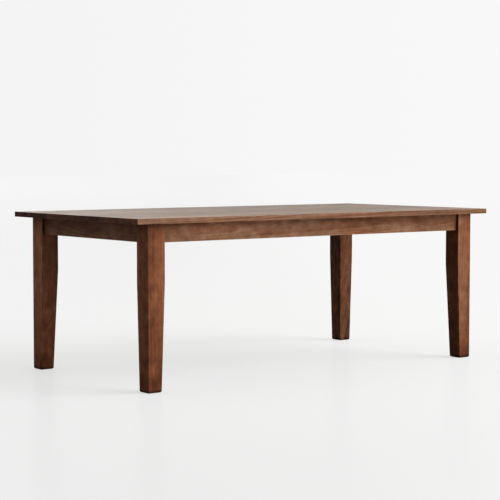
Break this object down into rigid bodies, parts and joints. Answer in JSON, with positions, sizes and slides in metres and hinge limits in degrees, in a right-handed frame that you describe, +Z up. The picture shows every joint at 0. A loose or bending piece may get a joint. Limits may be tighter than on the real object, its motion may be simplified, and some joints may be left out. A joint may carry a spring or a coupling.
{
  "type": "dining table",
  "caption": "Rectangular solid-wood dining table: flat plank top overhanging set-back aprons, square legs tapering on their inner faces, levelling feet.",
  "frame": {"origin": "on the floor, under the middle of the top", "axes": "+X along the length of the top, +Y towards the back, +Z up"},
  "size_m": [2.134, 1.067, 0.762],
  "materials": {
    "top_wood": "satin",
    "leg_wood": "satin",
    "apron_wood": "satin",
    "inner_wood": "matte",
    "zinc_steel": "satin",
    "nylon": "matte"
  },
  "bodies": {
    "table": {"top_board_1": "top_wood", "top_board_2": "top_wood", "top_board_3": "top_wood", "top_board_4": "top_wood", "top_board_5": "top_wood", "top_board_6": "top_wood", "top_board_7": "top_wood", "front_apron": "apron_wood", "back_apron": "apron_wood", "left_apron": "apron_wood", "right_apron": "apron_wood", "front_left_leg": "leg_wood", "front_right_leg": "leg_wood", "back_right_leg": "leg_wood", "back_left_leg": "leg_wood", "front_left_corner_block": "inner_wood", "front_right_corner_block": "inner_wood", "back_right_corner_block": "inner_wood", "back_left_corner_block": "inner_wood", "batten_1": "inner_wood", "batten_2": "inner_wood", "batten_3": "inner_wood", "hanger_bolts": "zinc_steel", "hanger_bolt_washers": "zinc_steel", "hanger_bolt_nuts": "zinc_steel", "corner_block_screws": "zinc_steel", "batten_screws": "zinc_steel", "top_clips": "zinc_steel", "top_clip_screws": "zinc_steel", "leveller_inserts": "zinc_steel"},
    "front_left_leveller": {"front_left_leveller_stem": "zinc_steel", "front_left_leveller_pad": "nylon"},
    "front_right_leveller": {"front_right_leveller_stem": "zinc_steel", "front_right_leveller_pad": "nylon"},
    "back_right_leveller": {"back_right_leveller_stem": "zinc_steel", "back_right_leveller_pad": "nylon"},
    "back_left_leveller": {"back_left_leveller_stem": "zinc_steel", "back_left_leveller_pad": "nylon"}
  },
  "joints": [
    {"name": "front_left_leveller_slide", "type": "slide", "parent": "table", "child": "front_left_leveller", "axis": [0, 0, -1], "range_m": [0, 0.012]},
    {"name": "front_right_leveller_slide", "type": "slide", "parent": "table", "child": "front_right_leveller", "axis": [0, 0, -1], "range_m": [0, 0.012]},
    {"name": "back_right_leveller_slide", "type": "slide", "parent": "table", "child": "back_right_leveller", "axis": [0, 0, -1], "range_m": [0, 0.012]},
    {"name": "back_left_leveller_slide", "type": "slide", "parent": "table", "child": "back_left_leveller", "axis": [0, 0, -1], "range_m": [0, 0.012]}
  ]
}
